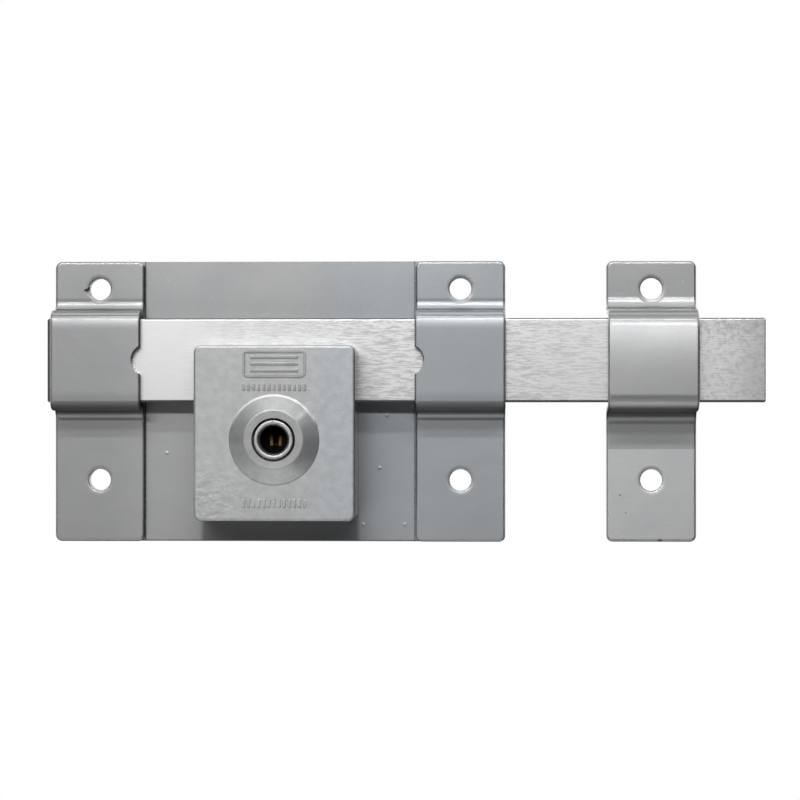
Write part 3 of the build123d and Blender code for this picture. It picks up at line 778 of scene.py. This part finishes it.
def ground_steel():
    """Bright bar steel with short grinding strokes, smooth with painted light at one end and darker with
    painted shade at the other.
    """
    look = finishes()
    bar_low, bar_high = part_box("slide_bar")
    steel = Finish("ground_steel", Metallic=1.0)
    x, _, z = steel.axis_parts()
    # Millimetres from the bar's left end
    along = (x - bar_low.x) * (1 / MM)
    long, fine, broad = steel.strokes(5.0, 0.26), steel.strokes(1.7, 0.13), steel.strokes(3.0, 0.33)
    blotch = steel.grain(6.0)
    mark = long * 0.45 + fine * 0.4 + blotch * 0.15
    mark = mark + (broad - 0.5) * steel.span(along, 70, 105, 0.0, 0.7)
    worn = steel.span(along, 35, 100, 0.35, 1.3) + steel.span(along, 120, 190, 0.0, 0.6)
    free_end = steel.span(along, 170, 200)
    mark = (mark - 0.5) * worn + 0.5 + free_end * 0.11
    shade = steel.blend(steel.span(mark, 0.33, 0.63), look.steel_low, look.steel)
    # Painted light: brighter towards the left end and past the middle
    shade = steel.blend(steel.span(along, 37, 58, 0.6, 0.0), shade, look.steel_painted_light)
    shade = steel.blend(steel.span(along, 130, 170, 0.0, 0.35), shade, look.steel_painted_light)
    # Painted shade darkens the free end
    dull = toned(look.steel_low, 0.6)
    shade = steel.blend(steel.span(along + blotch * 6, 206, 222, 0.0, 0.4), shade, dull)
    # The free end is darker in patches, most along its top
    stain = steel.span(steel.grain(1.7, 3.0, 0.7), 0.45, 0.62, 0.0, 0.4)
    stain = stain + steel.span(z, bar_high.z - 9 * MM, bar_high.z - 2 * MM, -0.1, 0.1)
    shade = steel.blend(stain * free_end, shade, dull)
    # Painted shade darkens the top and bottom edges and the left end
    edge_shade = steel.span(z, bar_high.z - 0.5 * MM, bar_high.z - 0.25 * MM)
    edge_shade = edge_shade + steel.span(z, bar_low.z + 0.85 * MM, bar_low.z + 0.55 * MM)
    edge_shade = edge_shade + steel.span(along, 1.2, 0.8)
    steel.feed("Base Color", steel.blend(edge_shade, shade, toned(look.steel_low, 0.2)))
    steel.feed("Roughness", steel.span(mark, 0.35, 0.65, 0.47, 0.40))
    steel.feed("Normal", steel.bump(fine, 0.006, steel.bump(long, 0.010)))
    return steel.material


def turned_metal(name, colour, shade, axis_point, rough, bore=0.0):
    """Metal from the lathe, with fine rings round an axis along Y."""
    metal = Finish(name, Metallic=1.0)
    radius = metal.radius(axis_point)
    values = {"W": radius * (1 / (0.18 * MM)), "Scale": 1.0, "Detail": 2.0}
    rings = metal.node("ShaderNodeTexNoise", {"noise_dimensions": "1D"}, values)
    stain = metal.grain(1.4)
    look = metal.blend(metal.span(rings * 0.6 + stain * 0.4, 0.3, 0.7), shade, colour)
    dull = metal.span(stain, 0.3, 0.7, *rough)
    if bore:
        # Painted shade: the bore is near black
        bore_shade = metal.span(radius, bore * 1.03, bore * 1.12, 1.0, 0.0)
        look = metal.blend(bore_shade, look, finishes().oil)
        dull = dull + bore_shade * 0.5
    metal.feed("Base Color", look)
    metal.feed("Roughness", dull)
    metal.feed("Normal", metal.bump(rings, 0.006))
    return metal.material


def keyhole_brass():
    """Brass that shows bright only beside the slot, lit more towards its lower end as painted light,
    with painted shade over the rest of the face.
    """
    look = finishes()
    brass = Finish("keyhole_brass", Metallic=1.0)
    axis_x, _, axis_z = key_axis()
    x, _, z = brass.axis_parts()
    stain = brass.grain(0.9)
    # Painted light on the brass beside the slot, more towards its lower end; painted shade over the rest
    painted_lighting = brass.span(abs(x - axis_x) + stain * (0.3 * MM), 1.7 * MM, 2.0 * MM, 1.0, 0.0)
    painted_lighting = painted_lighting * brass.span(abs(z - axis_z) + stain * (0.4 * MM), 1.9 * MM, 2.2 * MM, 0.7, 0.0)
    painted_lighting = painted_lighting * brass.span(z, axis_z + 2 * MM, axis_z - 2 * MM, 0.15, 1.0)
    metal = brass.blend(brass.span(stain, 0.3, 0.7), look.brass_low, look.brass)
    brass.feed("Base Color", brass.blend(painted_lighting, look.oil, metal))
    brass.feed("Roughness", brass.span(stain, 0.3, 0.7, 0.3, 0.5))
    brass.feed("Normal", brass.bump(stain, 0.02))
    return brass.material


def plated(name, colour):
    """Plated steel: soft spangle, dull patches and a fine skin."""
    plate = Finish(name, Metallic=1.0)
    spangle = plate.grain(2.2)
    plate.feed("Base Color", plate.blend(plate.span(spangle, 0.3, 0.7), colour, toned(colour, 0.75)))
    plate.feed("Roughness", plate.span(spangle, 0.3, 0.7, 0.28, 0.45))
    plate.feed("Normal", plate.bump(plate.grain(0.3), 0.006))
    return plate.material


class RIMLOCK_OT_plate(Operator):
    """Paint the back plate"""

    bl_idname = "rimlock.plate"
    bl_label = "Back plate"

    def execute(self, context):
        left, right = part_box("guide_strap_left")[1].x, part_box("guide_strap_right")[0].x
        # Painted shade along the straps' inner edges
        seams = ((left + 0.1 * MM, 0.4 * MM, 0.9), (right - 0.3 * MM, 0.35 * MM, 0.7))
        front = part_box("back_plate")[0].y
        lumps = ((-34.8, -21.0), (30.5, -25.5), (32.7, -9.4), (38.2, -42.8), (25.5, -42.8))
        grains = [((x * MM, front, z * MM), 0.8 * MM) for x, z in lumps]
        casting_low, casting_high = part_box("lock_housing")
        # Painted shadow under the housing
        under = (casting_low.z - 3.5 * MM, 7 * MM, 0.55, casting_low.x, casting_high.x)
        paint_nodes(["back_plate"], enamel("plate_enamel", (under, lower_edge()), seams, grains))
        return {"FINISHED"}


class RIMLOCK_OT_guides(Operator):
    """Fold the two guide straps on the plate"""

    bl_idname = "rimlock.guides"
    bl_label = "Guide straps"

    def execute(self, context):
        size = sizes()
        left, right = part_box("guide_strap_left")[1].x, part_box("guide_strap_right")[0].x
        bar_low, bar_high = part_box("slide_bar")
        inset = size.notch - size.notch_depth
        bar_z = (bar_low.z + bar_high.z) / 2
        # Painted shade in the folds, along the inner edges and in the upper half of each notch
        paint = enamel(
            "guide_enamel",
            fold_shade(size.guide_room, 0.5 * MM, 0.3),
            seams=((left - 0.1 * MM, 0.35 * MM, 0.9), (right, 0.25 * MM, 0.8)),
            notches=[(x, 0.0, bar_z) for x in (left + inset, right - inset)],
            bow={"start": 15.5 * MM, "steep": 0.9e6, "lean": 0.0, "tilt": 0.0},
        )
        folds = (size.guide_room, size.guide_bend, size.guide_foot)
        for side, notch_side in (("left", 1), ("right", -1)):
            node = f"guide_strap_{side}"
            strap = folded_strap(f"{side}_guide", node, *folds, notch_side, side == "left")
            settle(strap, "case", node, paint)
        return {"FINISHED"}


class RIMLOCK_OT_keeper(Operator):
    """Fold the keeper strap for the door frame"""

    bl_idname = "rimlock.keeper"
    bl_label = "Keeper"

    def execute(self, context):
        size = sizes()
        folds = (size.keeper_room, size.keeper_bend, size.keeper_foot)
        strap = folded_strap("keeper", "keeper_strap", *folds, 0)
        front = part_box("keeper_strap")[1].y - size.sheet
        flaws = ((105.5, -39.1, 0.35), (103.8, -33.75, 0.4), (115.9, -47.9, 1.0))
        chips = [((x * MM, front, z * MM), radius * MM) for x, z, radius in flaws]
        bow = {"start": -2 * MM, "steep": 6900.0, "lean": 0.02, "tilt": 0.075}
        # Painted shade in the keeper's folds and along its lower edge
        paint = enamel("keeper_enamel", fold_shade(size.keeper_room, 1.3 * MM), chips=chips, bow=bow)
        settle(strap, "case", "keeper_strap", paint)
        return {"FINISHED"}


class RIMLOCK_OT_bar(Operator):
    """Grind the slide bar bright"""

    bl_idname = "rimlock.bar"
    bl_label = "Slide bar"

    def execute(self, context):
        paint_nodes(["slide_bar"], ground_steel())
        return {"FINISHED"}


class RIMLOCK_OT_housing(Operator):
    """Cast the housing with its conical boss, and hollow it for the bar and the works"""

    bl_idname = "rimlock.housing"
    bl_label = "Housing"

    def execute(self, context):
        size = sizes()
        low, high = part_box("lock_housing")
        face = -size.housing_face
        casting = box_solid("housing", (low.x, face, low.z), high)
        round_uprights(casting, low, high, size.housing_corner, 8)
        round_edges(casting, lambda p: near(p.y, face), size.housing_edge, 5)
        x, _, z = key_axis()
        boss = turned_solid("boss", x, z, self.boss_rings(low.y, face))
        carve(casting, [boss], "UNION")
        self.relief(casting)
        self.hollow(casting, low, high)
        self.stand(casting, low, high)
        self.drill(casting, low, high)
        polish(casting)
        settle(casting, "case", "lock_housing", cast_paint())
        return {"FINISHED"}

    def relief(self, casting):
        """Raise a plain ribbed panel above the boss, and a row of short ribs above and below it."""
        size = sizes()
        x, _, z = key_axis()
        front, sunk = -size.housing_face - size.relief, 0.5 * MM - size.housing_face
        half, tall, line = size.panel_width / 2, size.panel_height / 2, size.panel_line
        middle = z + size.panel_rise
        low, high = Vector((x - half, front, middle - tall)), Vector((x + half, sunk, middle + tall))
        border = box_solid("panel", low, high)
        round_uprights(border, low, high, 2 * line, 5)
        inset = Vector((line, -MM, line))
        carve(border, [block("window", low + inset, high - inset)])
        ease_edges(border, size.panel_edge, 2, 50)
        rib, wide = size.relief_rib / 2, half - 3 * line
        first = middle - size.panel_pitch
        corners = (x - wide, front, first - rib), (x + wide, sunk, first + rib)
        rows = [rib_row("panel_ribs", *corners, (0, 0, size.panel_pitch), 3)]
        short_ribs = 13
        start = x - size.short_pitch * (short_ribs - 1) / 2
        for level, rise in ((size.upper_ribs, size.upper_rise), (size.lower_ribs, size.lower_rise)):
            bottom = z + level - rise / 2
            corners = (start - rib, front, bottom), (start + rib, sunk, bottom + rise)
            rows.append(rib_row("short_ribs", *corners, (size.short_pitch, 0, 0), short_ribs))
        carve(casting, [border, *rows], "UNION")

    def hollow(self, casting, low, high):
        """Cut the lock's room, the hollow in front of the bar and the bar's channel."""
        size = sizes()
        wall, back = size.housing_wall, high.y + MM
        front = wall - size.housing_face
        bar_low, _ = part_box("slide_bar")
        channel = bar_low.z - size.channel_room
        left, right, bar_front = low.x + wall, high.x - wall, bar_low.y - size.channel_front
        room = block("room", (left, front, low.z + wall), (right, back, channel - wall))
        upper = block("upper", (left, front, channel), (right, back, high.z - wall))
        way = block("way", (low.x - wall, bar_front, channel), (high.x + wall, back, high.z + wall))
        carve(casting, [room, upper, way])

    def stand(self, casting, low, high):
        """Raise the screw posts, the dog's ribs and the cylinder's barrel inside."""
        size = sizes()
        x, _, z = key_axis()
        sunk = size.housing_wall / 2 - size.housing_face
        body_low, body_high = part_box("cylinder_body")
        dog_low, dog_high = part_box("locking_dog")
        cam_low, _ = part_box("cam_disc")
        grown = [round_rod("post", *place, size.post, sunk, high.y) for place in self.post_places()]
        for side in (-1, 1):
            inner = (dog_high.x if side > 0 else dog_low.x) + side * size.rib_room
            ends = sorted((inner, inner + side * size.rib))
            foot, top = low.z + size.housing_wall / 2, cam_low.z - size.rib_drop
            grown.append(block("rib", (ends[0], sunk, foot), (ends[1], high.y, top)))
        seat = body_high.y - size.ear_sheet
        reach = size.barrel_room + size.barrel_wall
        half = size.lobe / 2 + reach
        grown.append(round_rod("barrel", x, z, 2 * (body_high.z - z + reach), sunk, seat))
        grown.append(block("lobe", (x - half, sunk, body_low.z - reach), (x + half, seat, z)))
        grown += [round_rod("ear", *place, size.ear, sunk, seat) for place in self.ear_places()]
        carve(casting, grown, "UNION")

    def drill(self, casting, low, high):
        """Bore the cylinder's seat and the keyhole, slot the cross wall and drill for the screws."""
        size = sizes()
        x, _, z = key_axis()
        body_low, body_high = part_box("cylinder_body")
        bar_low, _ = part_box("slide_bar")
        dog_low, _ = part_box("locking_dog")
        seat, back = body_low.y - size.sleeve_flange, high.y + MM
        room = size.barrel_room
        half = size.lobe / 2 + room
        channel = bar_low.z - size.channel_room
        tools = [
            round_rod("seat", x, z, 2 * (body_high.z - z + room), seat, back),
            block("lobe_seat", (x - half, seat, body_low.z - room), (x + half, back, z)),
            round_rod("bore", x, z, size.boss_bore, low.y - MM, seat + MM),
            block(
                "tongue",
                (x - size.tongue / 2, dog_low.y - size.tongue_room, channel - size.housing_wall - MM),
                (x + size.tongue / 2, back, channel + MM),
            ),
        ]
        for place in self.post_places():
            tools.append(round_rod("post_hole", *place, size.post_drill, high.y - size.post_depth, back))
        ear = body_high.y - size.ear_sheet
        for place in self.ear_places():
            tools.append(round_rod("ear_hole", *place, size.ear_drill, ear - size.ear_depth, ear + MM))
        carve(casting, tools)

    def post_places(self):
        """Middles of the four rear screws."""
        half = sizes().post / 2
        low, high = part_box("housing_screws")
        return [(x, z) for x in (low.x + half, high.x - half) for z in (low.z + half, high.z - half)]

    def ear_places(self):
        """Middles of the two ears of the cylinder."""
        half = sizes().ear / 2
        low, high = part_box("cylinder_body")
        z = key_axis()[2]
        return [(low.x + half, z), (high.x - half, z)]

    def boss_rings(self, top, face):
        """The boss from inside the face, over its rounded step and cone, to its rounded rim."""
        size = sizes()
        base, rim, edge, step = size.boss_base / 2, size.boss_rim / 2, size.boss_edge, size.boss_foot
        foot = face - size.boss_step
        slope = math.atan2(foot - top, base - rim)
        rings = [(base, face + MM)]
        drop = foot + step * (1 - math.sin(slope)) / math.cos(slope)
        for part in range(6):
            turn = QUARTER_TURN + (slope - QUARTER_TURN) * part / 5
            rings.append((base - step + step * math.sin(turn), drop - step * math.cos(turn)))
        rise = edge * math.tan(slope / 2)
        for part in range(5):
            turn = slope * (1 - part / 4)
            rings.append((rim - rise + edge * math.sin(turn), top + edge - edge * math.cos(turn)))
        return rings


class RIMLOCK_OT_sleeve(Operator):
    """Turn the steel nose sleeve"""

    bl_idname = "rimlock.sleeve"
    bl_label = "Nose sleeve"

    def execute(self, context):
        size = sizes()
        low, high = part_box("nose_sleeve")
        x, _, z = key_axis()
        outer, mouth, bore = size.sleeve_outer / 2, size.sleeve_mouth / 2, size.sleeve_bore / 2
        flange = (high.x - low.x) / 2
        neck = high.y - size.sleeve_flange
        section = [
            (bore, high.y),
            (flange, high.y),
            (flange, neck),
            (outer, neck),
            (outer, low.y),
            (mouth, low.y),
            (bore, low.y + size.sleeve_taper),
        ]
        sleeve = turned_tube("sleeve", x, z, section)
        ease_edges(sleeve, size.sleeve_edge, 3, 25)
        half = size.seam / 2
        corners = (x - half, low.y - MM, z + mouth * 0.9), (x + half, low.y + size.seam, z + 2 * outer)
        carve(sleeve, [block("seam", *corners)])
        polish(sleeve)
        bright = finishes().sleeve
        steel = turned_metal("turned_sleeve", bright, toned(bright, 0.85), key_axis(), (0.4, 0.5), bore)
        settle(sleeve, "case", "nose_sleeve", steel)
        return {"FINISHED"}


class RIMLOCK_OT_cylinder(Operator):
    """Finish the key cylinder: plug, body, pins, springs and cover"""

    bl_idname = "rimlock.cylinder"
    bl_label = "Key cylinder"

    def execute(self, context):
        look = finishes()
        paint_nodes(["cylinder_plug"], keyhole_brass())
        brass = turned_metal("turned_brass", look.brass, look.brass_low, key_axis(), (0.3, 0.45))
        pins = ["front_key_pin", "middle_key_pin", "rear_key_pin", "driver_pins"]
        paint_nodes([*pins, "chamber_cover", "cylinder_body"], brass)
        paint_nodes(["pin_springs"], plated("spring_wire", look.sleeve))
        return {"FINISHED"}


class RIMLOCK_OT_works(Operator):
    """Plate the cam and the dog, and blacken the screws"""

    bl_idname = "rimlock.works"
    bl_label = "Cam, dog and screws"

    def execute(self, context):
        paint_nodes(["cam_disc", "cam_pin", "locking_dog"], plated("zinc_plate", finishes().zinc))
        screws = ["cam_screw", "housing_screws", "cylinder_screws"]
        paint_nodes(screws, plated("dark_screw_steel", finishes().screw))
        return {"FINISHED"}


class RIMLOCK_OT_stage(Operator):
    """Set the floor, the lights and the camera"""

    bl_idname = "rimlock.stage"
    bl_label = "Stage"

    def execute(self, context):
        stage = context.scene.rim_lock_stage
        self.floor(stage)
        self.room(context, stage)
        for name, azimuth, elevation, wide, high, glow in PANELS:
            self.panel(stage, name, azimuth, elevation, wide, high, glow)
        lens = bpy.data.cameras.new("camera")
        lens.lens = stage.lens
        lens.sensor_width = 36.0
        camera = bpy.data.objects.new("camera", lens)
        camera.location = stage.eye
        camera.rotation_euler = stage.aim
        context.scene.collection.objects.link(camera)
        context.scene.camera = camera
        return {"FINISHED"}

    def floor(self, stage):
        """A round pale floor with a rolled edge, below the camera's view."""
        object_mode()
        place = (stage.floor_side, 0, -stage.floor_drop)
        bpy.ops.mesh.primitive_circle_add(
            vertices=RING, radius=stage.floor_radius, fill_type="NGON", location=place
        )
        floor = begin("floor")
        bpy.ops.mesh.select_all(action="SELECT")
        pull(0, 0, stage.floor_sheet)
        top = stage.floor_sheet - stage.floor_drop
        round_edges(floor, lambda p: near(p.z, top), stage.floor_roll, 4)
        object_mode()
        card = Finish("floor_card", Roughness=0.9)
        shade = card.span(card.grain(40.0), 0.3, 0.7)
        card.feed("Base Color", card.blend(shade, (0.80, 0.80, 0.80), (0.84, 0.84, 0.84)))
        floor.data.materials.append(card.material)

    def room(self, context, stage):
        """White to the camera, and dim all round for the light."""
        world = bpy.data.worlds.new("room")
        context.scene.world = world
        world.use_nodes = True
        tree = world.node_tree
        tree.nodes.clear()
        choice = tree.nodes.new("ShaderNodeMixShader")
        path = tree.nodes.new("ShaderNodeLightPath")
        tree.links.new(path.outputs["Is Camera Ray"], choice.inputs[0])
        for place, strength in ((1, stage.room_glow), (2, 1.0)):
            glow = tree.nodes.new("ShaderNodeBackground")
            glow.inputs["Color"].default_value = (1, 1, 1, 1)
            glow.inputs["Strength"].default_value = strength
            tree.links.new(glow.outputs[0], choice.inputs[place])
        out = tree.nodes.new("ShaderNodeOutputWorld")
        tree.links.new(choice.outputs[0], out.inputs[0])
        context.scene.view_settings.view_transform = "Standard"

    def panel(self, stage, name, azimuth, elevation, wide, high, glow):
        """A soft rectangular light that faces the lock's middle, its place and size in degrees."""
        side, up = math.radians(azimuth), math.radians(elevation)
        away = Vector((math.cos(up) * math.sin(side), -math.cos(up) * math.cos(side), math.sin(up)))
        lamp = bpy.data.lights.new(name, "AREA")
        lamp.shape = "RECTANGLE"
        lamp.size = 2 * stage.light_distance * math.tan(math.radians(wide / 2))
        lamp.size_y = 2 * stage.light_distance * math.tan(math.radians(high / 2))
        lamp.energy = stage.light_level * glow * math.pi * lamp.size * lamp.size_y
        holder = bpy.data.objects.new(name, lamp)
        holder.location = (cad_box[0] + cad_box[1]) / 2 + away * stage.light_distance
        holder.rotation_euler = (-away).to_track_quat("-Z", "Y").to_euler()
        bpy.context.scene.collection.objects.link(holder)


class RIMLOCK_PT_sidebar(Panel):
    """Sizes, finishes and the steps that make the lock"""

    bl_idname = "RIMLOCK_PT_sidebar"
    bl_label = "Rim lock"
    bl_space_type = "VIEW_3D"
    bl_region_type = "UI"
    bl_category = "Rim lock"

    def draw(self, context):
        for step in STEPS:
            self.layout.operator(step.bl_idname, text=step.bl_label)
        scene = context.scene
        for group in (scene.rim_lock_sizes, scene.rim_lock_finishes, scene.rim_lock_stage):
            column = self.layout.column(align=True)
            for key in group.bl_rna.properties.keys():
                if key not in ("rna_type", "name"):
                    column.prop(group, key)


GROUPS = (RimLockSizes, RimLockFinishes, RimLockStage)
STEPS = (
    RIMLOCK_OT_plate,
    RIMLOCK_OT_guides,
    RIMLOCK_OT_keeper,
    RIMLOCK_OT_bar,
    RIMLOCK_OT_housing,
    RIMLOCK_OT_sleeve,
    RIMLOCK_OT_cylinder,
    RIMLOCK_OT_works,
    RIMLOCK_OT_stage,
)


def register():
    for kind in (*GROUPS, *STEPS, RIMLOCK_PT_sidebar):
        bpy.utils.register_class(kind)
    bpy.types.Scene.rim_lock_sizes = PointerProperty(type=RimLockSizes)
    bpy.types.Scene.rim_lock_finishes = PointerProperty(type=RimLockFinishes)
    bpy.types.Scene.rim_lock_stage = PointerProperty(type=RimLockStage)


def unregister():
    del bpy.types.Scene.rim_lock_stage
    del bpy.types.Scene.rim_lock_finishes
    del bpy.types.Scene.rim_lock_sizes
    for kind in (RIMLOCK_PT_sidebar, *reversed(STEPS), *reversed(GROUPS)):
        bpy.utils.unregister_class(kind)


def main():
    """Make the lock step by step."""
    register()
    bpy.ops.rimlock.plate()
    bpy.ops.rimlock.guides()
    bpy.ops.rimlock.keeper()
    bpy.ops.rimlock.bar()
    bpy.ops.rimlock.housing()
    bpy.ops.rimlock.sleeve()
    bpy.ops.rimlock.cylinder()
    bpy.ops.rimlock.works()
    bpy.ops.rimlock.stage()


if __name__ == "__main__":
    main()
